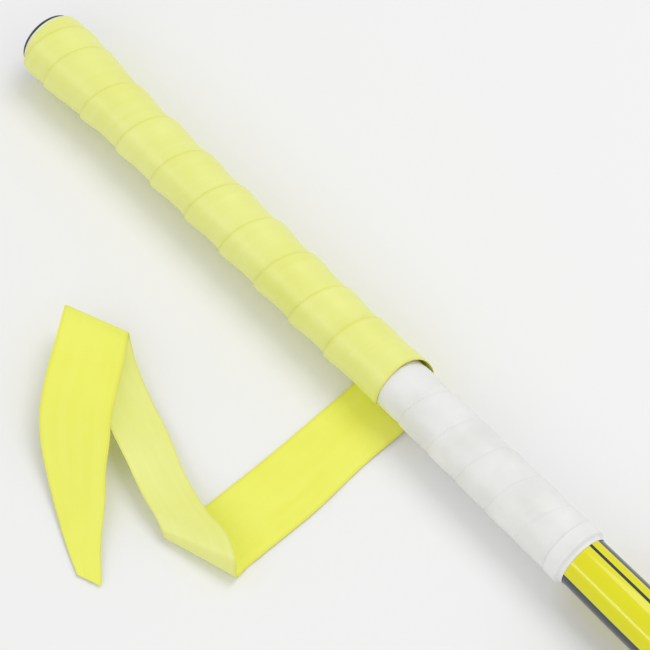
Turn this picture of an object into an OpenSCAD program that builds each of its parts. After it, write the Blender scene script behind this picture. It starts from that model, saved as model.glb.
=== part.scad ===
// Stick handle whose outer grip tape is being wound on: a hollow shaft with a plug and an end cap, a white
// cushion grip in a helix over it, and a thin yellow overgrip over that, with its unwound end lying folded.
// The frame: the shaft runs along X, its cut end is at the origin and faces +X, and +Z is up. Millimetres.

/* [Shaft] */
// Length from the cut end to the rim of the end cap
handle_length = 379; // [370:1:395]
// Outer diameter of the slim part, under the grips
slim_diameter = 19.6; // [19:0.1:20.5]
// Outer diameter at the cut end
cut_end_diameter = 22.4; // [22:0.1:24]
// Diameter of the hollow at the cut end
hollow_diameter = 16; // [14:0.1:16.4]
// Depth of that stretch of the hollow; beyond it the wall is a little thicker
hollow_depth = 40; // [20:1:43]
// Straight stretch at the cut end, where a socket fits
straight_length = 22; // [15:1:30]
// Distance from the cut end to where the shaft starts to widen
widening_start = 150; // [130:5:170]

/* [End cap] */
// Height of the dome beyond the rim
dome_height = 3; // [2:0.1:5]
// Diameter of the dome's rim
cap_diameter = 26; // [25.4:0.1:27]
// Length of the flared sleeve over the shaft
sleeve_length = 50; // [40:1:60]
// Largest outer diameter of the sleeve, where its rounded end meets its taper
sleeve_diameter = 24.8; // [24:0.1:25.4]
// Length of the spigot inside the shaft
spigot_length = 16; // [10:1:25]
// Length of the foam plug behind the spigot
plug_length = 45; // [20:1:80]

/* [Cushion grip] */
// Thickness of the white strip
cushion_thickness = 1.8; // [1.6:0.1:2]
// Width of the white strip along the shaft
cushion_width = 19.5; // [19:0.1:22]
// Advance of the white strip in one turn
cushion_pitch = 16.8; // [16.5:0.1:17.5]
// Distance from the cut end to the end of the white strip
cushion_end = 50; // [47:1:60]

/* [Overgrip] */
// Thickness of the yellow tape
tape_thickness = 0.6; // [0.5:0.05:0.7]
// Width of the yellow tape
tape_width = 30; // [30:0.5:31]
// Advance of the yellow tape in the last of its tight turns
tape_pitch = 21.2; // [21:0.1:21.6]
// How much more each turn before that advances, halved
pitch_growth = 0.175; // [0.1:0.005:0.2]
// Number of tight turns, the first of them trimmed along the rim
tape_turns = 9.56; // [9.54:0.01:9.56]

/* [Hidden] */

butt_x = -handle_length;
slim_r = slim_diameter / 2;
cut_end_r = cut_end_diameter / 2;
hollow_r = hollow_diameter / 2;
inner_r = hollow_r - 0.2;
sleeve_r = sleeve_diameter / 2;
cap_r = cap_diameter / 2;
// Clearance between layers that are wound on each other
layer_gap = 0.15;
// Where the near edge of the tape leaves the handle, on its underside
take_off_x = -169.5;
// Width of the tape, and of its tail's first stretch, measured along the shaft
tape_axial = tape_width * 1.033;
take_off_width = 29.5;
// Rounded end of the sleeve: how long it is, and how much lower than the sleeve's largest radius it gets
round_length = 8;
round_drop = 1.2;
// How far the sleeve's rounding lies below the cushion grip, at most
bridged = 0.55;
// Where the cushion grip and the overgrip are trimmed, beside the cap
cushion_rim_x = butt_x + 1.2;
tape_rim_x = butt_x + 2.6;
// Distance from its rim at which the cushion grip's second turn starts
second_turn = 4.1;
// The cushion grip gets thinner towards its end, over this length and to this share of its thickness
thin_length = 35;
thin_share = 0.8;
// Height of the tail's middle surface where it lies flat, level with the lowest point of the butt
tail_z = -16;
// How much higher it is where it leaves the handle
take_off_rise = 2.4;
// Thickness of the cap's face, between the dome's rim and the end of the tube
cap_face = 3;
// Gap left at a fold, so that the turned part clears the part before it
fold_gap = 3;

function mix(a, b, t) = a + (b - a) * t;
function ease(t) = t <= 0 ? 0 : t >= 1 ? 1 : t * t * (3 - 2 * t);
function clamp(v, a, b) = min(max(v, a), b);

// Outer radius of the shaft alone
function shaft_r(x) =
    mix(slim_r, cut_end_r, clamp((x + widening_start) / (widening_start - straight_length), 0, 1));
// Outer radius of the sleeve: rounded at its end, then a taper
function sleeve_at(x) =
    let (past = x - butt_x - round_length)
    past < 0
        ? sleeve_r - round_drop * pow(past / round_length, 2)
        : mix(sleeve_r, slim_r, past / (sleeve_length - round_length));
// Outer radius of what the cushion grip lies on: the shaft, and the cap's sleeve near the butt
function core_r(x) = max(shaft_r(x), sleeve_at(x));
// Outer radius of the sleeve itself: the stiff cushion grip bridges its rounding instead of following it
function cap_sleeve_r(x) =
    core_r(x) - bridged * pow(sin(clamp((x - butt_x) * 90 / round_length, 0, 180)), 2);
// Share of the cushion grip's thickness that is left at x
function thinning(x) = mix(1, thin_share, ease((x + cushion_end + thin_length) / thin_length));
// Outer radius of the cushion grip, which the overgrip lies on
function grip_r(x) = core_r(x) + cushion_thickness * thinning(x) + 2 * layer_gap;

// Point on the handle at angle a, from -Y over the top (90) to +Y (180) and round underneath (270)
function on_handle(x, r, a) = [x, -r * cos(a), r * sin(a)];

// Faces of a tube of rings, each ring a closed loop of count points, with both ends closed
function ring_faces(rings, count) = concat(
    [[for (k = [0:count - 1]) k]],
    [
        for (i = [0:rings - 2], k = [0:count - 1])
            let (
                a = i * count + k,
                b = a + count,
                d = i * count + (k + 1) % count,
                c = d + count
            )
            each [[a, b, c], [a, c, d]]
    ],
    [[for (k = [count - 1:-1:0]) (rings - 1) * count + k]]
);

// Smooth curve through p1 and p2, with p0 before them and p3 after them
function through(p0, p1, p2, p3, t) =
    p1
    + (p2 - p0) * t / 2
    + (p0 - 2.5 * p1 + 2 * p2 - p3 / 2) * t * t
    + (1.5 * p1 - p0 / 2 - 1.5 * p2 + p3 / 2) * t * t * t;

// The whole list of stations, with steps extra stations between each two
function smooth(list, steps) = [
    for (i = [0:len(list) - 2], k = [0:(i == len(list) - 2 ? steps : steps - 1)])
        let (
            p0 = list[max(i - 1, 0)],
            p1 = list[i],
            p2 = list[i + 1],
            p3 = list[min(i + 2, len(list) - 1)]
        )
        [for (side = [0, 1]) through(p0[side], p1[side], p2[side], p3[side], k / steps)]
];

function unit(v) = v / norm(v);

// Faces of a strip with four corners in each ring. Its two wide sides are split along the same diagonal, which
// keeps a twisted strip equally thick.
function strip_faces(rings) = concat(
    [[0, 1, 2, 3]],
    [
        for (i = [0:rings - 2], k = [0:3])
            let (
                a = i * 4 + k,
                b = a + 4,
                d = i * 4 + (k + 1) % 4,
                c = d + 4
            )
            each (k == 3 ? [[a, b, d], [b, c, d]] : [[a, b, c], [a, c, d]])
    ],
    [[for (k = [3:-1:0]) (rings - 1) * 4 + k]]
);

// A thin closed strip between two edges: each station is [left point, right point] of its middle surface
module strip(stations, thickness) {
    last = len(stations) - 1;
    rings = [
        for (i = [0:last])
            let (
                a = stations[max(i - 1, 0)],
                b = stations[min(i + 1, last)],
                across = stations[i][1] - stations[i][0],
                n_left = unit(cross(b[0] - a[0], across)) * thickness / 2,
                n_right = unit(cross(b[1] - a[1], across)) * thickness / 2
            )
            each [
                stations[i][0] + n_left,
                stations[i][0] - n_left,
                stations[i][1] - n_right,
                stations[i][1] + n_right
            ]
    ];
    polyhedron(rings, strip_faces(last + 1), convexity = 6);
}

// A strip in a helix on the handle, trimmed at rim and at end_x: profile is a closed loop of [distance along
// the shaft, height] points. Its zero is at zero_x at angle 0, and its advance in one turn is pitch there and
// grows by twice growth in each turn before.
module helix(profile, zero_x, pitch, growth, start_a, end_a, step, on_core, rim, end_x = 0) {
    count = len(profile);
    width = max([for (p = profile) p[0]]);
    squeeze = 0.04;
    rings = ceil((end_a - start_a) / step) + 1;
    points = [
        for (i = [0:rings - 1])
            let (
                a = min(start_a + i * step, end_a),
                back = -a / 360,
                x0 = zero_x - pitch * back - growth * back * back
            )
            for (p = profile)
                let (
                    trimmed = max(x0 + p[0], rim + squeeze * p[0]),
                    x = min(trimmed, end_x - squeeze * (width - p[0])),
                    height = layer_gap + (p[1] - layer_gap) * (on_core ? thinning(x) : 1),
                    r = (on_core ? core_r(x) : grip_r(x)) + height
                )
                on_handle(x, r, a)
    ];
    polyhedron(points, ring_faces(rings, count), convexity = 10);
}

// ---- The free end of the tape: [left, right] edges of its middle surface, x, y and height over the rest surface
function lift(list) = [for (s = list) [for (p = s) [p[0], p[1], p[2] + tail_z]]];

run_edges = lift([
    [[take_off_x, -0.5, take_off_rise], [take_off_x + take_off_width, -0.5, take_off_rise]],
    [[take_off_x + 0.6, -10, take_off_rise / 2], [take_off_x + 30, -9.5, take_off_rise / 2]],
    [[-168, -27.3, 0], [-139, -25.3, 0]],
    [[-166, -59.3, 0], [-135.5, -57.3, 0]],
    [[-165, -89.3, 0], [-134.5, -85.3, 0]],
    [[-164.5, -103.3 + fold_gap, 0], [-134, -94.8 + 1.5 * fold_gap, 0]]
]);
roll_edges = lift([
    [[-164, -105.3, 0], [-134, -96.3, 0]],
    [[-163.5, -107.8, 1], [-132.5, -98.8, 3]],
    [[-164, -108.8, 3], [-133, -98.3, 8.5]],
    [[-166, -107.8, 4.6], [-137, -95.3, 12]],
    [[-169, -107.3, 5.6], [-144, -92.8, 11.8]]
]);
return_edges = lift([
    [[-169.5, -107.3, 5.7], [-145, -92.6, 11.7]],
    [[-181, -105.3, 8], [-161, -90.8, 8.5]],
    [[-196, -101.3, 10], [-179, -86.3, 5.5]],
    [[-211, -97.3, 11], [-198, -79.3, 3.5]],
    [[-231, -90.3, 12], [-216, -74.3, 3.5]],
    [[-250, -83.3, 14.5], [-233, -68.3, 4.5]],
    [[-261.5, -78.8, 16.4], [-240.5, -64.5, 6.2]]
]);
crease_edges = lift([
    [[-263.5, -78, 16.8], [-242, -63.7, 7]],
    [[-264.8, -77.8, 17.8], [-242.8, -63.5, 8]],
    [[-263.6, -78.9, 19], [-241.4, -64.7, 9.2]],
    [[-261, -81.3, 19.4], [-239.5, -66.8, 10]]
]);
drop_edges = lift([
    [[-260.7, -81.7, 19.5], [-239.2, -67.2, 10.1]],
    [[-253, -91.3, 19.6], [-230.5, -75.3, 14]],
    [[-243, -104.3, 17], [-218.5, -88.3, 17.3]],
    [[-232, -116.3, 11.8], [-209.5, -97.8, 18]],
    [[-227, -119.9, 9], [-205.6, -101.1, 17.2]]
]);
tip_edges = lift([
    [[-226.5, -120.3, 8.8], [-205.2, -101.5, 17]],
    [[-214, -126.8, 4.2], [-197, -110.3, 12.6]],
    [[-197, -134.6, 1.4], [-187, -119.3, 7.6]],
    [[-185, -139.5, 0.5], [-177, -129.3, 3]],
    [[-174, -143.3, 0.3], [-164, -139.3, 0.3]]
]);

// ---- Pieces

module shaft_tube() {
    color("gold") rotate([0, 90, 0]) rotate_extrude($fn = 96) polygon([
        [inner_r, butt_x + cap_face],
        [slim_r, butt_x + cap_face],
        [slim_r, -widening_start],
        [cut_end_r, -straight_length],
        [cut_end_r, 0],
        [hollow_r, 0],
        [hollow_r, -hollow_depth],
        [inner_r, -hollow_depth]
    ]);
}

module foam_plug() {
    color("khaki") translate([butt_x + cap_face + spigot_length, 0, 0])
        rotate([0, 90, 0]) cylinder(r = inner_r - 0.02, h = plug_length, $fn = 64);
}

// One moulding: dome, rim, spigot inside the shaft and flared sleeve outside it
module end_cap() {
    dome_steps = 10;
    edge_r = 1.6;
    fit = 0.02;
    lip = 0.3;
    round_steps = 12;
    round_start = butt_x + 0.9;
    round_end = butt_x + 2 * round_length;
    // The sleeve ends a little before its taper runs out, so that its edge isn't a feather edge
    sleeve_end = butt_x + sleeve_length - 5;
    color("darkslategray") rotate([0, 90, 0]) rotate_extrude($fn = 96) polygon(concat(
        [for (i = [0:dome_steps]) [
            (cap_r - edge_r) * sin(90 * i / dome_steps),
            butt_x - dome_height * cos(90 * i / dome_steps)
        ]],
        [[cap_r - lip, butt_x - 0.6], [cap_r, butt_x - 0.1]],
        [[cap_r, butt_x + 0.5], [cap_r - lip, butt_x + 0.9]],
        [for (i = [0:round_steps]) let (x = mix(round_start, round_end, i / round_steps)) [cap_sleeve_r(x), x]],
        [[core_r(sleeve_end), sleeve_end], [slim_r + fit, sleeve_end], [slim_r + fit, butt_x + cap_face]],
        [[inner_r - fit, butt_x + cap_face], [inner_r - fit, butt_x + cap_face + spigot_length]],
        [[0, butt_x + cap_face + spigot_length]]
    ));
}

// The edges of the white strip are thinned, so that each turn laps the one before without a ridge
module cushion_grip() {
    t = cushion_thickness;
    w = cushion_width;
    lap = w - cushion_pitch;
    profile = [
        [0, t + 0.2], [lap + 0.8, t + 0.15], [w * 0.5, t], [w - lap, t - 0.05], [w, t * 0.45],
        [w, layer_gap], [w * 0.5, layer_gap], [lap + 0.8, layer_gap], [lap, t * 0.5], [0, t + 0.02]
    ];
    zero_x = cushion_rim_x + second_turn;
    end_x = -cushion_end;
    turns = (end_x - 4 - zero_x) / cushion_pitch;
    step = 360 / 26;
    start_a = -31 * step;
    color("white") helix(
        profile, zero_x, cushion_pitch, 0, start_a, 360 * turns, step, true, cushion_rim_x, end_x
    );
}

// Narrow band of white tape that closes the end of the cushion grip on the shaft
module cushion_end_band() {
    band_thickness = 0.25;
    start_x = -cushion_end - 6;
    end_x = -cushion_end;
    inner = [
        [grip_r(start_x) + 0.08, start_x],
        [grip_r(end_x) + 0.08, end_x + 0.2],
        [shaft_r(end_x) + 0.03, end_x + 1.6],
        [shaft_r(end_x + 2.7) + 0.03, end_x + 2.7]
    ];
    outer = [for (i = [3:-1:0]) inner[i] + [band_thickness, i == 1 || i == 2 ? band_thickness : 0]];
    color("whitesmoke") rotate([0, 90, 0]) rotate_extrude($fn = 72) polygon(concat(inner, outer));
}

// Section of the tape: the near part lies on the turn before, the far part on the cushion grip
tape_lap = tape_axial - tape_pitch + 0.2;
tape_profile = [
    [0, 2 * tape_thickness + 0.2],
    [tape_lap, 2 * tape_thickness + 0.15],
    [tape_lap + 2.5, tape_thickness + layer_gap],
    [tape_lap + 9, tape_thickness + layer_gap],
    [tape_lap + 16, tape_thickness + layer_gap],
    [tape_axial, tape_thickness + layer_gap],
    [tape_axial, layer_gap],
    [tape_lap + 16, layer_gap],
    [tape_lap + 9, layer_gap],
    [tape_lap + 2, layer_gap],
    [tape_lap + 0.1, tape_thickness + layer_gap + 0.05],
    [0, tape_thickness + layer_gap + 0.1]
];

// Place of the near edge on the -Y side, where the last turn starts
last_turn_x = -181.5;

module overgrip_wound() {
    color("khaki") helix(
        tape_profile, last_turn_x, tape_pitch, pitch_growth, -360 * tape_turns, -1, 10, false, tape_rim_x
    );
}

// The turn that isn't pulled tight yet: its far edge lags and stands off the handle a little
module overgrip_last_turn() {
    steps = 30;
    points = [
        for (i = [0:steps])
            let (
                t = i / steps,
                a = mix(0, 268.5, t),
                back = 1 - a / 360,
                near_x = mix(last_turn_x, take_off_x, t),
                far_x = mix(last_turn_x + tape_axial, take_off_x + take_off_width, ease(t * 1.5 - 0.5)),
                under_x = last_turn_x - tape_pitch * back - pitch_growth * back * back + tape_axial,
                lap = (under_x + 0.6 - near_x) / (far_x - near_x),
                loose = 1.3 * pow(sin(clamp((a - 40) * 180 / 200, 0, 180)), 2)
            )
            for (p = [
                [0, 1], [lap, 1], [lap + 0.08, 0], [1, 0],
                [1, -1], [lap + 0.06, -1], [lap - 0.01, -2], [0, -2]
            ])
                let (
                    x = mix(near_x, far_x, p[0]),
                    high = p[1] == 1 || p[1] == -2 ? tape_thickness + 0.05 : 0,
                    top = p[1] >= 0 ? tape_thickness : layer_gap
                )
                on_handle(x, grip_r(x) + 0.1 + high + top + loose * ease(p[0]), a)
    ];
    color("khaki") polyhedron(points, ring_faces(steps + 1, 8), convexity = 10);
}

module tail_run() color("khaki") strip(smooth(run_edges, 3), tape_thickness);
module tail_roll() color("khaki") strip(smooth(roll_edges, 4), tape_thickness);
module tail_return() color("khaki") strip(smooth(return_edges, 3), tape_thickness);
module tail_crease() color("khaki") strip(smooth(crease_edges, 3), tape_thickness);
module tail_drop() color("khaki") strip(smooth(drop_edges, 3), tape_thickness);
module tail_tip() color("khaki") strip(smooth(tip_edges, 3), tape_thickness * 0.8);

shaft_tube();
foam_plug();
end_cap();
cushion_grip();
cushion_end_band();
overgrip_wound();
overgrip_last_turn();
tail_run();
tail_roll();
tail_return();
tail_crease();
tail_drop();
tail_tip();
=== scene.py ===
import math

import bmesh
import bpy
import numpy as np
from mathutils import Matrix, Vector, noise


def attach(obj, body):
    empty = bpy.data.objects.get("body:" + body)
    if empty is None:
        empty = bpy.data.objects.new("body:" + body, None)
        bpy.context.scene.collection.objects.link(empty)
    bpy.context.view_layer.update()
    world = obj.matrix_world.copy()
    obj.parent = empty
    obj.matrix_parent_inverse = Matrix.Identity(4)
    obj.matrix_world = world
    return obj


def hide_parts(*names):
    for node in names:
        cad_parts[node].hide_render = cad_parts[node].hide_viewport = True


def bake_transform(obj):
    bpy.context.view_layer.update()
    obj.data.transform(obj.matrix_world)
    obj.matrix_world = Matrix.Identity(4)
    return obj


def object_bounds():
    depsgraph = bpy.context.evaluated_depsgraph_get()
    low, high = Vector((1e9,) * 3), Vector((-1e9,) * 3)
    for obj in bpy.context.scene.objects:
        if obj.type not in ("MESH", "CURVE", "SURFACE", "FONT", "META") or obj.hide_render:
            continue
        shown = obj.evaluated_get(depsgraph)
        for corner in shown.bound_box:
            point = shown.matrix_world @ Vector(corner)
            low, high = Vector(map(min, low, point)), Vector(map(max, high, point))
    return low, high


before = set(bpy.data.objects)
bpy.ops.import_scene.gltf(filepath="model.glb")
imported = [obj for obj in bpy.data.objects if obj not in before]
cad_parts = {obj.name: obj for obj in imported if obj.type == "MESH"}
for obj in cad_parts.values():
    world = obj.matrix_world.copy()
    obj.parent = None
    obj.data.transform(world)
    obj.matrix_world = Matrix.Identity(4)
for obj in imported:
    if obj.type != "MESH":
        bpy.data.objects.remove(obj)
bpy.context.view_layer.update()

MM = 0.001
# In metres: the tape's width, and the radius at which its length on the handle is counted
TAPE_WIDTH = 0.03
LENGTH_RADIUS = 0.0128

# ---- Sizes of the handle, in millimetres, as the CAD model has them. X runs along the shaft, its cut end at 0.
BUTT_X = -379.0
CUSHION_RIM_X = BUTT_X + 1.2
TAPE_RIM_X = BUTT_X + 2.6
SLIM_R = 9.8
CUT_END_R = 11.2
STRAIGHT = 22.0
WIDENING_START = 150.0
SLEEVE_R = 12.4
SLEEVE_LENGTH = 50.0
ROUND_LENGTH = 8.0
ROUND_DROP = 1.2
CUSHION_T = 1.8
CUSHION_W = 19.5
CUSHION_PITCH = 16.8
CUSHION_SECOND = 4.1
CUSHION_END = -50.0
THIN_LENGTH = 35.0
TAPE_T = 0.6
TAPE_AXIAL = 31.0
TAPE_PITCH = 21.2
PITCH_GROWTH = 0.175
LAST_TURN_X = -181.5
TAKE_OFF_X = -169.5
TAKE_OFF_WIDTH = 29.5
TAIL_Z = -16.0
TAKE_OFF_RISE = 2.4


# ---- Camera

def add_camera():
    azimuth, elevation, distance = math.radians(49.3), math.radians(57.35), 0.948
    target = Vector((-0.1868, -0.0077, 0.0074))
    back = Vector((
        math.sin(azimuth) * math.cos(elevation),
        -math.cos(azimuth) * math.cos(elevation),
        math.sin(elevation),
    ))
    data = bpy.data.cameras.new("camera")
    data.sensor_width = 36.0
    data.lens = 132.9
    data.clip_end = 10
    camera = bpy.data.objects.new("camera", data)
    camera.location = target + back * distance
    camera.rotation_euler = back.to_track_quat("Z", "Y").to_euler()
    bpy.context.scene.collection.objects.link(camera)
    bpy.context.scene.camera = camera


# ---- Shape helpers

def mix(a, b, t):
    return a + (b - a) * t


def ease(t):
    t = np.clip(t, 0.0, 1.0)
    return t * t * (3 - 2 * t)


def shaft_r(x):
    t = np.clip((x + WIDENING_START) / (WIDENING_START - STRAIGHT), 0, 1)
    return mix(SLIM_R, CUT_END_R, t)


def core_r(x):
    """Radius of what the cushion grip lies on: the cap's flared sleeve, then the shaft."""
    past = x - BUTT_X - ROUND_LENGTH
    rounded = SLEEVE_R - ROUND_DROP * (past / ROUND_LENGTH) ** 2
    taper = mix(SLEEVE_R, SLIM_R, past / (SLEEVE_LENGTH - ROUND_LENGTH))
    sleeve = rounded if past < 0 else taper
    gap = float(shaft_r(x)) - sleeve
    return float(shaft_r(x)) + 0.5 * (math.sqrt(gap * gap + 0.09) - gap)


def thinning(x):
    return mix(1.0, 0.8, float(ease((x - CUSHION_END + THIN_LENGTH) / THIN_LENGTH)))


def grip_r(x):
    return core_r(x) + CUSHION_T * thinning(x) + 0.25


def soft_noise(p, seed):
    return noise.noise(Vector((p[0], p[1], p[2] + 31.7 * seed)))


def on_handle(x, r, angle):
    """Point at that angle in degrees, from -Y over the top (90) to +Y (180) and round underneath (270)."""
    a = math.radians(angle)
    return (x, -r * math.cos(a), r * math.sin(a))


def build(name, rings, uv, slots, materials):
    """A closed mesh from rings of points in millimetres. uv gives each point's place along and across the strip
    in metres, and slots gives the material of each side of the section."""
    count, n = len(rings[0]), len(rings)
    vertices = [tuple(c * MM for c in p) for ring in rings for p in ring]
    faces, kinds, corner_uv = [], [], []
    for i in range(n - 1):
        for k in range(count):
            m = (k + 1) % count
            faces.append((i * count + k, i * count + m, (i + 1) * count + m, (i + 1) * count + k))
            kinds.append(slots[k])
            corner_uv += [uv[i][k], uv[i][m], uv[i + 1][m], uv[i + 1][k]]
    for i, order in ((0, range(count - 1, -1, -1)), (n - 1, range(count))):
        faces.append(tuple(i * count + k for k in order))
        kinds.append(0)
        corner_uv += [uv[i][k] for k in order]
    mesh = bpy.data.meshes.new(name)
    mesh.from_pydata(vertices, [], faces)
    for material in materials:
        mesh.materials.append(material)
    mesh.polygons.foreach_set("material_index", kinds)
    mesh.polygons.foreach_set("use_smooth", [len(f) == 4 for f in faces])
    layer = mesh.uv_layers.new(name="along")
    layer.data.foreach_set("uv", np.array(corner_uv, np.float32).ravel())
    mesh.update()
    piece = bpy.data.objects.new(name, mesh)
    bpy.context.scene.collection.objects.link(piece)
    return piece


def face_outwards(piece):
    """Turns the whole mesh right side out, if its signed volume says that it is inside out."""
    mesh = piece.data
    co = np.zeros(len(mesh.vertices) * 3)
    mesh.vertices.foreach_get("co", co)
    co = co.reshape(-1, 3)
    mesh.calc_loop_triangles()
    tri = np.zeros(len(mesh.loop_triangles) * 3, np.int32)
    mesh.loop_triangles.foreach_get("vertices", tri)
    a, b, c = (co[tri.reshape(-1, 3)[:, i]] for i in range(3))
    if np.einsum("ij,ij->i", a, np.cross(b, c)).sum() < 0:
        mesh.flip_normals()
    return piece


# ---- Materials

def new_material(name):
    material = bpy.data.materials.new(name)
    material.use_nodes = True
    return material, material.node_tree, material.node_tree.nodes["Principled BSDF"]


def add(tree, kind, **inputs):
    node = tree.nodes.new(kind)
    for key, value in inputs.items():
        if key in node.inputs:
            node.inputs[key].default_value = value
        else:
            setattr(node, key, value)
    return node


def ramp(tree, source, stops):
    node = add(tree, "ShaderNodeValToRGB")
    elements = node.color_ramp.elements
    while len(elements) < len(stops):
        elements.new(0.5)
    for element, (place, colour) in zip(elements, stops):
        element.position = place
        element.color = (*colour, 1) if len(colour) == 3 else colour
    tree.links.new(source, node.inputs["Fac"])
    return node


def grain(tree, coordinates, scale, detail=4.0):
    node = add(tree, "ShaderNodeTexNoise")
    node.inputs["Scale"].default_value = scale
    node.inputs["Detail"].default_value = detail
    tree.links.new(coordinates, node.inputs["Vector"])
    return node


def bump(tree, height, strength, distance, under=None):
    node = add(tree, "ShaderNodeBump")
    node.inputs["Strength"].default_value = strength
    node.inputs["Distance"].default_value = distance
    tree.links.new(height, node.inputs["Height"])
    if under is not None:
        tree.links.new(under.outputs["Normal"], node.inputs["Normal"])
    return node


def tape_material(name, light, deep, edge, roughness, coat, pore_depth):
    """Thin polyurethane tape: fine pores, faint streaks along its length, and painted shade along both edges."""
    material, tree, shader = new_material(name)
    uv = add(tree, "ShaderNodeUVMap", uv_map="along")
    place = add(tree, "ShaderNodeTexCoord")
    cloud = grain(tree, place.outputs["Object"], 38.0, 3.0)
    stretch = add(tree, "ShaderNodeMapping")
    stretch.inputs["Scale"].default_value = (18.0, 260.0, 1.0)
    tree.links.new(uv.outputs["UV"], stretch.inputs["Vector"])
    streak = grain(tree, stretch.outputs["Vector"], 1.0, 4.0)
    tint = add(tree, "ShaderNodeMix", data_type="FLOAT")
    tint.inputs["Factor"].default_value = 0.4
    tree.links.new(cloud.outputs["Fac"], tint.inputs["A"])
    tree.links.new(streak.outputs["Fac"], tint.inputs["B"])
    colour = ramp(tree, tint.outputs["Result"], [(0.3, deep), (0.72, light)])
    split = add(tree, "ShaderNodeSeparateXYZ")
    tree.links.new(uv.outputs["UV"], split.inputs["Vector"])
    across = add(tree, "ShaderNodeMath", operation="SUBTRACT")
    across.inputs[1].default_value = 0.015
    tree.links.new(split.outputs["Y"], across.inputs[0])
    from_middle = add(tree, "ShaderNodeMath", operation="ABSOLUTE")
    tree.links.new(across.outputs["Value"], from_middle.inputs[0])
    # Painted shade: near both edges of the strip the colour darkens towards the edge colour, where the seams
    # between turns lie in shade.
    rim = add(tree, "ShaderNodeMapRange")
    rim.inputs["From Min"].default_value = 0.0135
    rim.inputs["From Max"].default_value = 0.0152
    rim.inputs["To Max"].default_value = 0.55
    tree.links.new(from_middle.outputs["Value"], rim.inputs["Value"])
    shade = add(tree, "ShaderNodeMix", data_type="RGBA")
    shade.inputs["B"].default_value = (*edge, 1)
    tree.links.new(rim.outputs["Result"], shade.inputs["Factor"])
    tree.links.new(colour.outputs["Color"], shade.inputs["A"])
    tree.links.new(shade.outputs["Result"], shader.inputs["Base Color"])
    pores = add(tree, "ShaderNodeTexVoronoi")
    pores.inputs["Scale"].default_value = 1500.0
    tree.links.new(place.outputs["Object"], pores.inputs["Vector"])
    fine = bump(tree, pores.outputs["Distance"], pore_depth, 0.00008)
    waves = bump(tree, streak.outputs["Fac"], 0.25, 0.00025, fine)
    tree.links.new(waves.outputs["Normal"], shader.inputs["Normal"])
    rough = add(tree, "ShaderNodeMapRange")
    rough.inputs["To Min"].default_value = roughness - 0.07
    rough.inputs["To Max"].default_value = roughness + 0.09
    tree.links.new(cloud.outputs["Fac"], rough.inputs["Value"])
    tree.links.new(rough.outputs["Result"], shader.inputs["Roughness"])
    shader.inputs["Coat Weight"].default_value = coat
    shader.inputs["Coat Roughness"].default_value = 0.38
    shader.inputs["Sheen Weight"].default_value = 0.12
    shader.inputs["Sheen Roughness"].default_value = 0.5
    shader.inputs["Specular IOR Level"].default_value = 0.4
    return material


def cushion_material():
    """White polyurethane foam grip with a leathery grain and a faint grey mottle."""
    material, tree, shader = new_material("cushion_white")
    place = add(tree, "ShaderNodeTexCoord")
    cloud = grain(tree, place.outputs["Object"], 60.0, 5.0)
    colour = ramp(tree, cloud.outputs["Fac"], [(0.3, (0.80, 0.80, 0.775)), (0.7, (0.90, 0.90, 0.885))])
    tree.links.new(colour.outputs["Color"], shader.inputs["Base Color"])
    cells = add(tree, "ShaderNodeTexVoronoi")
    cells.inputs["Scale"].default_value = 1100.0
    tree.links.new(place.outputs["Object"], cells.inputs["Vector"])
    fine = bump(tree, cells.outputs["Distance"], 0.35, 0.0001)
    soft = bump(tree, cloud.outputs["Fac"], 0.3, 0.0005, fine)
    tree.links.new(soft.outputs["Normal"], shader.inputs["Normal"])
    rough = add(tree, "ShaderNodeMapRange")
    rough.inputs["To Min"].default_value = 0.42
    rough.inputs["To Max"].default_value = 0.62
    tree.links.new(cloud.outputs["Fac"], rough.inputs["Value"])
    tree.links.new(rough.outputs["Result"], shader.inputs["Roughness"])
    shader.inputs["Subsurface Weight"].default_value = 0.08
    shader.inputs["Subsurface Radius"].default_value = (0.002, 0.002, 0.0018)
    return material


def band_material():
    material, tree, shader = new_material("band_white")
    place = add(tree, "ShaderNodeTexCoord")
    cloud = grain(tree, place.outputs["Object"], 90.0, 4.0)
    colour = ramp(tree, cloud.outputs["Fac"], [(0.3, (0.82, 0.82, 0.80)), (0.7, (0.9, 0.9, 0.885))])
    tree.links.new(colour.outputs["Color"], shader.inputs["Base Color"])
    weave = bump(tree, grain(tree, place.outputs["Object"], 1800.0, 2.0).outputs["Fac"], 0.25, 0.0001)
    tree.links.new(weave.outputs["Normal"], shader.inputs["Normal"])
    shader.inputs["Roughness"].default_value = 0.5
    return material


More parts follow.
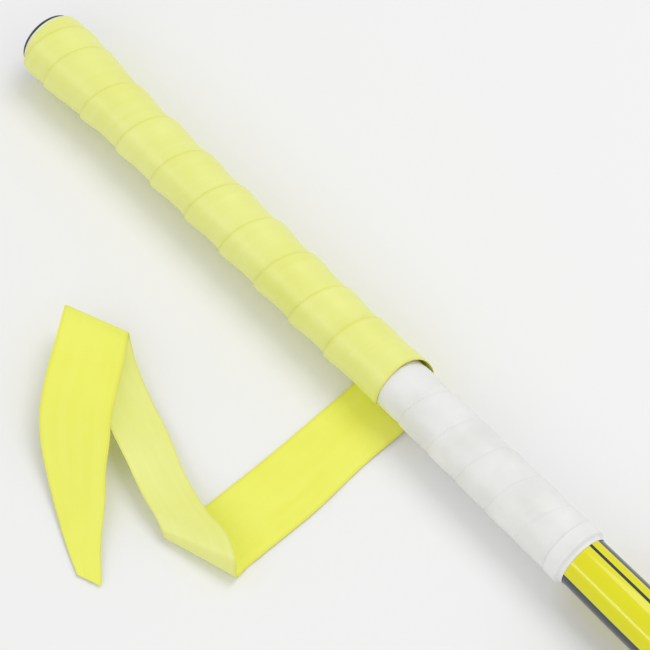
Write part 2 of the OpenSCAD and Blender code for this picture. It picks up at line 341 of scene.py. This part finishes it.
def shaft_material():
    """Lacquer with bands round the shaft: yellow panels, charcoal between them and a thin charcoal line."""
    material, tree, shader = new_material("shaft_lacquer")
    place = add(tree, "ShaderNodeTexCoord")
    split = add(tree, "ShaderNodeSeparateXYZ")
    tree.links.new(place.outputs["Object"], split.inputs["Vector"])
    flip = add(tree, "ShaderNodeMath", operation="MULTIPLY")
    flip.inputs[1].default_value = -1.0
    tree.links.new(split.outputs["Y"], flip.inputs[0])
    angle = add(tree, "ShaderNodeMath", operation="ARCTAN2")
    tree.links.new(split.outputs["Z"], angle.inputs[0])
    tree.links.new(flip.outputs["Value"], angle.inputs[1])
    turn = add(tree, "ShaderNodeMapRange")
    turn.inputs["From Min"].default_value = -math.pi
    turn.inputs["From Max"].default_value = math.pi
    tree.links.new(angle.outputs["Value"], turn.inputs["Value"])
    yellow, charcoal = (0.86, 0.82, 0.004), (0.028, 0.046, 0.064)

    def at(degrees):
        return (degrees + 180.0) / 360.0

    bands = [
        (0.0, charcoal), (at(-164), yellow), (at(-78), charcoal), (at(-71.5), yellow), (at(-53), charcoal),
        (at(16), yellow), (at(99), charcoal), (at(105.5), yellow), (at(127), charcoal),
    ]
    paint = ramp(tree, turn.outputs["Result"], bands)
    paint.color_ramp.interpolation = "CONSTANT"
    cloud = grain(tree, place.outputs["Object"], 45.0, 6.0)
    fleck = grain(tree, place.outputs["Object"], 2600.0, 2.0)
    worn = add(tree, "ShaderNodeMix", data_type="RGBA", blend_type="MULTIPLY")
    worn.inputs["Factor"].default_value = 0.10
    tree.links.new(paint.outputs["Color"], worn.inputs["A"])
    tree.links.new(cloud.outputs["Color"], worn.inputs["B"])
    tree.links.new(worn.outputs["Result"], shader.inputs["Base Color"])
    rough = add(tree, "ShaderNodeMapRange")
    rough.inputs["To Min"].default_value = 0.16
    rough.inputs["To Max"].default_value = 0.30
    tree.links.new(cloud.outputs["Fac"], rough.inputs["Value"])
    tree.links.new(rough.outputs["Result"], shader.inputs["Roughness"])
    peel = bump(tree, fleck.outputs["Fac"], 0.05, 0.00005)
    tree.links.new(peel.outputs["Normal"], shader.inputs["Normal"])
    shader.inputs["Specular IOR Level"].default_value = 0.25
    shader.inputs["Coat Weight"].default_value = 0.5
    shader.inputs["Coat Roughness"].default_value = 0.05
    return material


def plain_material(name, dark, light, roughness, scale, depth):
    """Moulded plastic or foam: mottled colour, and a grain that depth sets."""
    material, tree, shader = new_material(name)
    place = add(tree, "ShaderNodeTexCoord")
    cloud = grain(tree, place.outputs["Object"], scale, 4.0)
    colour = ramp(tree, cloud.outputs["Fac"], [(0.3, dark), (0.7, light)])
    tree.links.new(colour.outputs["Color"], shader.inputs["Base Color"])
    fine = grain(tree, place.outputs["Object"], scale * 20, 2.0)
    relief = bump(tree, fine.outputs["Fac"], depth, 0.0001)
    tree.links.new(relief.outputs["Normal"], shader.inputs["Normal"])
    rough = add(tree, "ShaderNodeMapRange")
    rough.inputs["To Min"].default_value = roughness - 0.08
    rough.inputs["To Max"].default_value = roughness + 0.08
    tree.links.new(cloud.outputs["Fac"], rough.inputs["Value"])
    tree.links.new(rough.outputs["Result"], shader.inputs["Roughness"])
    return material


# ---- Strips wound on the handle

def wound_strip(name, section, near, width, start_a, end_a, step, base, rim, end_x, thin, materials, seed):
    """A strip in a helix. section(angle) is a closed loop of (distance across, height, material), near(angle)
    the place of its near edge, and the strip is trimmed at rim and at end_x."""
    squeeze = 0.04
    rings, uvs, kinds = [], [], []
    count = int(math.ceil((end_a - start_a) / step)) + 1
    for i in range(count):
        a = min(start_a + i * step, end_a)
        x0 = near(a)
        loop = section(a)
        ring, ring_uv = [], []
        for u, height, _ in loop:
            x = max(x0 + u, rim + squeeze * u)
            x = min(x, end_x - squeeze * (width - u))
            p = on_handle(x, 1.0, a)
            swell = 0.09 * soft_noise((p[0] * 0.09, p[1] * 1.4, p[2] * 1.4), seed)
            ring.append(on_handle(x, base(x) + height * thin(x) + swell, a))
            ring_uv.append((math.radians(a) * LENGTH_RADIUS, u / width * TAPE_WIDTH))
        rings.append(ring)
        uvs.append(ring_uv)
        kinds = [p[2] for p in loop]
    return face_outwards(build(name, rings, uvs, kinds, materials))


def tape_near_x(a):
    """Near edge of the wound tape: at the rim its second turn stays a little short of the first."""
    back = -a / 360
    early = 10.5 * float(ease((back - 8.05) / 0.5))
    return LAST_TURN_X - TAPE_PITCH * back - PITCH_GROWTH * back * back + early


def tape_section(a):
    """Section of the wound tape: a round near edge on the turn before, then a slope to the cushion grip."""
    high = 2 * TAPE_T + 0.38
    low = TAPE_T + 0.08
    first = float(ease((-a / 360 - 9.0) / 0.12))
    high = mix(high, low + 0.05, first)
    lap = tape_near_x(a - 360) + TAPE_AXIAL - tape_near_x(a)
    lap = min(lap, 18.0)
    outer = [(0.0, high - 0.5, 0), (0.08, high - 0.2, 0), (0.25, high - 0.06, 0), (0.6, high, 0)]
    for k in range(1, 19):
        u = 0.6 + (TAPE_AXIAL - 1.0) * k / 18
        outer.append((u, high - (high - low) * float(ease((u - 1.0) / (lap + 5.5))), 0))
    outer.append((TAPE_AXIAL, low - 0.2, 1))
    inner = [
        (TAPE_AXIAL, 0.14, 1), (lap + 6, 0.12, 1), (lap + 1.2, 0.16, 1),
        (lap + 0.1, TAPE_T + 0.1, 1), (0.0, max(high - 0.72, 0.15), 1),
    ]
    return outer + inner


def wound_tape(materials):
    return wound_strip(
        "overgrip_turns", tape_section, tape_near_x, TAPE_AXIAL, -360 * 10.1, 0, 4.0, grip_r,
        TAPE_RIM_X, 0.0, lambda x: 1.0, materials, 1,
    )


def cushion_near_x(a):
    wander = 0.5 * soft_noise((a * 0.005, 2.0, 0.0), 4)
    return CUSHION_RIM_X + CUSHION_SECOND + CUSHION_PITCH * a / 360 + wander


def cushion_section(a):
    t, w = CUSHION_T, CUSHION_W
    lap = w - CUSHION_PITCH
    outer = [(0.0, t - 0.25, 0), (0.2, t + 0.02, 0), (0.6, t + 0.16, 0), (1.4, t + 0.24, 0)]
    for k in range(1, 10):
        u = 1.4 + (w - lap - 1.8) * k / 9
        outer.append((u, t + 0.24 - 0.28 * float(ease(k / 9)) + 0.12 * math.sin(math.pi * k / 9), 0))
    outer += [(w - lap, t - 0.16, 0), (w - 1.2, t - 0.5, 0), (w, t * 0.45, 0)]
    inner = [(w, 0.15, 0), (lap + 0.8, 0.15, 0), (lap, t * 0.5, 0), (0.0, t - 0.45, 0)]
    return outer + inner


def cushion(material):
    turns = (CUSHION_END - 4 - CUSHION_RIM_X - CUSHION_SECOND) / CUSHION_PITCH
    return wound_strip(
        "cushion_strip", cushion_section, cushion_near_x, CUSHION_W, -457, 360 * turns, 5.0, core_r,
        CUSHION_RIM_X, CUSHION_END, thinning, [material], 5,
    )


# ---- The tape's last turn and its tail

def last_turn_rings(from_a, to_a, step):
    """Near edge, far edge and width of the lap of the turn that isn't pulled tight yet, at each angle."""
    stations = []
    count = int(round((to_a - from_a) / step)) + 1
    for i in range(count):
        a = mix(from_a, to_a, i / max(count - 1, 1))
        t = a / 270.0
        near = mix(LAST_TURN_X, TAKE_OFF_X, t)
        far = mix(LAST_TURN_X + TAPE_AXIAL, TAKE_OFF_X + TAKE_OFF_WIDTH, float(ease(t * 1.5 - 0.5)))
        stations.append((a, near, far))
    return stations


def last_turn_point(a, near, far, s):
    """Middle surface of the last turn at share s of its width."""
    x = mix(near, far, s)
    t = a / 270.0
    under = tape_near_x(a - 360) + TAPE_AXIAL
    lap = 1 - float(ease((x - near) / (under - near + 6)))
    loose = 1.2 * math.sin(math.pi * min(max((a - 40) / 200, 0), 1)) ** 2 * float(ease(s))
    rest_r = -(TAIL_Z + TAKE_OFF_RISE)
    tight = grip_r(x) + 0.14 + TAPE_T / 2 + lap * (TAPE_T + 0.34) + loose
    return on_handle(x, mix(tight, rest_r, float(ease((a - 190) / 78))), a)


RUN = [
    [(-168.9, -10, 0.9), (-139.5, -9.5, 0.9)],
    [(-168, -27.3, 0.05), (-139, -25.3, 0.05)],
    [(-166, -59.3, 0), (-135.5, -57.3, 0)],
    [(-165, -89.3, 0), (-134.5, -85.3, 0)],
    [(-164.3, -102, 0), (-134, -94, 0)],
]
ROLL = [
    [(-163.8, -106.6, 0.5), (-132.9, -98, 1.2)],
    [(-163.8, -108.6, 2.2), (-132.2, -98.8, 5.6)],
    [(-165.3, -108.4, 4.1), (-134.4, -97, 10.2)],
    [(-169, -107.3, 5.6), (-141, -93.8, 12)],
]
RETURN = [
    [(-181, -105.3, 8), (-160, -91, 8.7)],
    [(-196, -101.3, 10), (-179, -86.3, 5.5)],
    [(-211, -97.3, 11), (-198, -79.3, 3.5)],
    [(-231, -90.3, 12), (-216, -74.3, 3.5)],
    [(-250, -83.3, 14.5), (-233, -68.3, 4.8)],
]
CREASE = [
    [(-262.4, -78.4, 16.4), (-241.2, -64.2, 6.6)],
    [(-264.6, -77.9, 17.7), (-242.8, -63.5, 8)],
    [(-263, -79.4, 19.2), (-241.2, -65, 9.6)],
]
DROP = [
    [(-253, -91.3, 19.8), (-230.5, -75.3, 14)],
    [(-243, -104.3, 17), (-218.5, -88.3, 17.5)],
    [(-232, -116.3, 11.8), (-209.5, -97.8, 18)],
]
TIP = [
    [(-226.7, -120.1, 8.9), (-205.4, -101.3, 17)],
    [(-214, -126.8, 4.2), (-197, -110.3, 12.6)],
    [(-197, -134.6, 1.4), (-187, -119.3, 7.6)],
    [(-185, -139.5, 0.5), (-177, -129.3, 3)],
    [(-174, -143.3, 0.3), (-164, -139.3, 0.3)],
]


def lifted(stations):
    return [[np.array((p[0], p[1], p[2] + TAIL_Z)) for p in s] for s in stations]


def curve_through(stations, spacing):
    """Smooth stations through the given ones, about spacing millimetres apart."""
    points = np.array(stations)
    middle = points.mean(axis=1)
    gaps = np.linalg.norm(np.diff(middle, axis=0), axis=1)
    slope = np.zeros_like(points)
    chord = np.diff(points, axis=0) / gaps[:, None, None]
    before, after = gaps[:-1], gaps[1:]
    weighted = chord[:-1] * after[:, None, None] + chord[1:] * before[:, None, None]
    slope[1:-1] = weighted / (before + after)[:, None, None]
    slope[0], slope[-1] = chord[0], chord[-1]
    made = []
    for i, gap in enumerate(gaps):
        steps = max(int(round(gap / spacing)), 2)
        for k in range(steps):
            t = k / steps
            h = (2 * t**3 - 3 * t**2 + 1, t**3 - 2 * t**2 + t, -2 * t**3 + 3 * t**2, t**3 - t**2)
            made.append(
                h[0] * points[i] + h[1] * gap * slope[i] + h[2] * points[i + 1] + h[3] * gap * slope[i + 1]
            )
    made.append(points[-1])
    return np.array(made)


# Cells across the tape, and about how far apart its stations are
ACROSS = 14
STATION_SPACING = 1.3


def tail_middle_surface():
    """Grid of the free tape's middle surface: [station][place across], from under the handle to the tip."""
    angle, near, far = last_turn_rings(269, 270, 1)[-1]
    first = [np.array(last_turn_point(angle, near, far, side)) for side in (0, 1)]
    stations = [first] + lifted(RUN + ROLL + RETURN + CREASE + DROP + TIP)
    edges = curve_through(stations, STATION_SPACING)
    shares = [k / ACROSS for k in range(ACROSS + 1)]
    return np.array([[left + (right - left) * share for share in shares] for left, right in edges])


def surface_normals(grid):
    along = np.gradient(grid, axis=0)
    across = np.gradient(grid, axis=1)
    normal = np.cross(along, across)
    return normal / np.maximum(np.linalg.norm(normal, axis=2, keepdims=True), 1e-9)


def crumple(grid, normals, flat_share):
    """Soft waves of a thin tape that was rolled up: none where it lies flat, more towards its tip."""
    moved = grid.copy()
    for i in range(len(grid)):
        for k in range(ACROSS + 1):
            p = grid[i, k]
            wave = noise.noise(Vector((i * 0.055, k * 0.16 + i * 0.02, 3.0)))
            small = noise.noise(Vector((i * 0.16 + k * 0.22, k * 0.35 - i * 0.05, 9.0)))
            moved[i, k] = p + normals[i, k] * (0.55 * wave + 0.16 * small) * flat_share[i]
    return moved


def tape_from_grid(name, grid, normals, materials, start_length):
    """A thin closed strip about a middle surface, thinner at its edges, its first material on the normals' side.
    Its wide sides are shaded with the given normals, which run on over a cut between two stretches."""
    half = TAPE_T / 2
    rings, uvs = [], []
    columns = grid.shape[1]
    for i in range(len(grid)):
        ring, ring_uv = [], []
        for side, order in ((1, range(columns)), (-1, range(columns - 1, -1, -1))):
            for k in order:
                share = k / (columns - 1)
                thin = 0.45 if k in (0, columns - 1) else 1.0
                ring.append(tuple(grid[i, k] + normals[i, k] * half * thin * side))
                ring_uv.append(((start_length + i * STATION_SPACING) * MM, share * TAPE_WIDTH))
        rings.append(ring)
        uvs.append(ring_uv)
    kinds = [0] * (columns - 1) + [0] + [1] * (columns - 1) + [1]
    piece = face_outwards(build(name, rings, uvs, kinds, materials))
    mesh = piece.data
    corner_normals = [(0.0, 0.0, 0.0)] * len(mesh.loops)
    for polygon in mesh.polygons:
        ks = sorted({mesh.loops[c].vertex_index % (2 * columns) for c in polygon.loop_indices})
        on_first, on_second = ks[-1] < columns, ks[0] >= columns
        if len(ks) != 2 or not (on_first or on_second):
            continue
        for c in polygon.loop_indices:
            i, k = divmod(mesh.loops[c].vertex_index, 2 * columns)
            n = normals[i, k] if on_first else -normals[i, 2 * columns - 1 - k]
            corner_normals[c] = tuple(float(v) for v in n)
    mesh.normals_split_custom_set(corner_normals)
    return piece


def turn_surface(from_a, to_a):
    """Grid of the middle surface of the turn that isn't pulled tight yet, between two angles."""
    stations = last_turn_rings(from_a, to_a, 3.0)
    shares = [k / ACROSS for k in range(ACROSS + 1)]
    return np.array([[last_turn_point(a, n, f, share) for share in shares] for a, n, f in stations])


def nearest_row(grid, station):
    """Index of the row of the grid whose middle is nearest the middle of the station."""
    middle = (station[0] + station[1]) / 2
    return int(np.argmin(np.linalg.norm(grid.mean(axis=1) - middle, axis=1)))


def make_tapes(outer, back):
    """The last turn, and the tail in stretches: each of the first three bends across one joint."""
    first = turn_surface(0, 176)
    turn_grid = turn_surface(176, 270)
    tail_grid = tail_middle_surface()
    whole = np.concatenate([first[:-1], turn_grid[:-1], tail_grid])
    normals = surface_normals(whole)
    fixed = len(first) - 1
    wound = fixed + len(turn_grid) - 1
    count = len(tail_grid)
    run_cut = wound + int(count * 0.15)
    crease_start = wound + nearest_row(tail_grid, lifted(RETURN)[-1])
    crease_end = wound + nearest_row(tail_grid, lifted(DROP)[0])
    share = np.zeros(len(whole))
    for j in range(count):
        s = j / count
        share[wound + j] = 0.25 * ease((s - 0.05) / 0.1) + 0.75 * ease((s - 0.38) / 0.15)
    for j in range(len(whole)):
        away = max(crease_start - j, j - crease_end, 0)
        share[j] *= ease(away / 14)
    whole = crumple(whole, normals, share)
    normals = surface_normals(whole)
    cuts = [0, fixed, run_cut, crease_start, crease_end, len(whole) - 1]
    names = [
        "overgrip_last_turn_top", "tail_near_tape", "tail_middle_tape", "tail_fold_tape", "tail_far_tape"
    ]
    pieces = []
    for name, a, b in zip(names, cuts[:-1], cuts[1:]):
        rows = slice(a, b + 1)
        pieces.append(tape_from_grid(name, whole[rows], normals[rows], [back, outer], a * STATION_SPACING))
    return pieces, whole, cuts


# ---- Shaft, cap and band

def lathe(name, outline, materials, around=128):
    """A solid turned about the X axis from (x, radius) points in millimetres."""
    rings = [[on_handle(x, r, 360 * k / around) for x, r in outline] for k in range(around + 1)]
    uvs = [[(k / around * 0.07, x * MM) for x, r in outline] for k in range(around + 1)]
    piece = build(name, rings, uvs, [0] * len(outline), materials)
    mesh = piece.data
    ends = [p.index for p in mesh.polygons if len(p.vertices) > 4]
    work = bmesh.new()
    work.from_mesh(mesh)
    work.faces.ensure_lookup_table()
    bmesh.ops.delete(work, geom=[work.faces[i] for i in ends], context="FACES_ONLY")
    bmesh.ops.remove_doubles(work, verts=work.verts, dist=1e-7)
    work.to_mesh(mesh)
    work.free()
    return face_outwards(piece)


def shaft(material):
    hollow, inner, depth = 8.0, 7.8, 40.0
    xs = [BUTT_X + 3, -150, -140, -120, -100, -80, -60, -50, -40, -30, -22, -15, -8]
    outline = [(x, float(shaft_r(x))) for x in xs]
    outline += [(-0.5, CUT_END_R), (-0.15, CUT_END_R - 0.1), (0.0, CUT_END_R - 0.4), (0.0, hollow + 0.4)]
    outline += [(-0.15, hollow + 0.1), (-0.5, hollow), (-depth, hollow), (-depth, inner), (xs[0], inner)]
    return lathe("shaft", outline, [material])


def cap(material):
    cap_r, dome, edge = 13.0, 3.0, 1.6
    outline = [(BUTT_X - dome, 0.02)]
    for k in range(1, 15):
        turn = math.pi / 2 * k / 14
        outline.append((BUTT_X - dome * math.cos(turn), (cap_r - edge) * math.sin(turn)))
    outline += [(BUTT_X - 0.35, cap_r - 0.7), (BUTT_X - 0.45, cap_r - 0.4)]
    outline += [(BUTT_X - 0.35, cap_r - 0.12), (BUTT_X, cap_r)]
    outline += [(BUTT_X + 0.5, cap_r), (BUTT_X + 0.8, cap_r - 0.1), (BUTT_X + 0.95, cap_r - 0.4)]
    outline += [(BUTT_X + x, core_r(BUTT_X + x)) for x in (1, 2, 3, 4, 5, 6, 7, 8, 20, 32, SLEEVE_LENGTH - 5)]
    end = BUTT_X + SLEEVE_LENGTH - 5
    outline += [(end, SLIM_R + 0.03), (BUTT_X + 3, SLIM_R + 0.03), (BUTT_X + 3, 7.75)]
    outline += [(BUTT_X + 19, 7.75), (BUTT_X + 19, 0.02)]
    return lathe("cap", outline, [material])


def end_band(material):
    """Finishing tape that closes the cushion grip's trimmed end on the shaft."""
    t = 0.25
    line = []
    for k in range(0, 25):
        x = CUSHION_END - 6 + 8.7 * k / 24
        drop = float(ease((x - CUSHION_END - 0.1) / 1.5))
        line.append((x, mix(grip_r(min(x, CUSHION_END)) - 0.02, float(shaft_r(x)) + 0.05, drop)))
    outline = line + [(x, r + t) for x, r in reversed(line)]
    return lathe("cushion_end_tape", outline, [material])


# ---- Stage

def stage_and_light(lowest):
    bpy.ops.mesh.primitive_plane_add(size=6, location=(0, 0, lowest - 0.0003))
    floor = bpy.context.object
    floor.name = "floor"
    material, tree, shader = new_material("floor")
    shader.inputs["Base Color"].default_value = (0.93, 0.93, 0.93, 1)
    shader.inputs["Roughness"].default_value = 0.9
    floor.data.materials.append(material)
    world = bpy.data.worlds.new("world")
    bpy.context.scene.world = world
    world.use_nodes = True
    world.node_tree.nodes["Background"].inputs["Color"].default_value = (1, 1, 1, 1)
    world.node_tree.nodes["Background"].inputs["Strength"].default_value = 0.66
    centre = Vector((-0.2, -0.03, 0))
    for name, offset, size, power in (
        ("key", (0.1, 0.7, 1.6), (0.9, 0.9), 8.2),
        ("fill", (0.5, -1.3, 1.2), (1.4, 1.0), 3.8),
        ("streak", (-0.45, -0.84, 0.55), (1.7, 0.16), 3.6),
    ):
        data = bpy.data.lights.new(name, "AREA")
        data.shape = "RECTANGLE"
        data.size, data.size_y = size
        data.energy = power
        light = bpy.data.objects.new(name, data)
        light.location = centre + Vector(offset)
        facing = Vector((0, offset[1], offset[2])) if name == "streak" else Vector(offset)
        light.rotation_euler = facing.to_track_quat("Z", "Y").to_euler()
        light.visible_diffuse = name != "streak"
        bpy.context.scene.collection.objects.link(light)
    bpy.context.scene.view_settings.view_transform = "Standard"


def main():
    add_camera()
    # The third colour of each tape material is the painted shade for the strip's edges.
    outer = tape_material(
        "tape_outside", (0.90, 0.93, 0.30), (0.84, 0.87, 0.20), (0.74, 0.72, 0.05), 0.42, 0.25, 0.35
    )
    back = tape_material(
        "tape_back", (0.93, 0.96, 0.16), (0.88, 0.90, 0.10), (0.76, 0.72, 0.03), 0.6, 0.0, 0.5
    )
    wound = wound_tape([outer, back])
    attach(wound, "handle")
    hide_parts("overgrip_wound")

    white = cushion(cushion_material())
    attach(white, "handle")
    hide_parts("cushion_grip")

    pieces, whole, cuts = make_tapes(outer, back)
    top, near, middle, fold, far = pieces
    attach(top, "handle")
    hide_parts("overgrip_last_turn")
    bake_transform(near)
    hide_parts("tail_run")
    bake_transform(middle)
    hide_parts("tail_roll", "tail_return")
    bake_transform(fold)
    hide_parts("tail_crease")
    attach(far, "tail_far")
    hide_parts("tail_drop", "tail_tip")

    rod = shaft(shaft_material())
    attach(rod, "handle")
    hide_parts("shaft_tube")
    moulded = plain_material("cap_plastic", (0.012, 0.022, 0.034), (0.022, 0.036, 0.052), 0.38, 70.0, 0.3)
    dome = cap(moulded)
    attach(dome, "handle")
    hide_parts("end_cap")
    band = end_band(band_material())
    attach(band, "handle")
    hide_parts("cushion_end_band")
    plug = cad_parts["foam_plug"]
    plug.data.materials.clear()
    plug.data.materials.append(plain_material("plug_foam", (0.6, 0.55, 0.36), (0.72, 0.68, 0.48), 0.85, 150.0, 0.8))

    visual_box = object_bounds()
    stage_and_light(visual_box[0][2])


main()
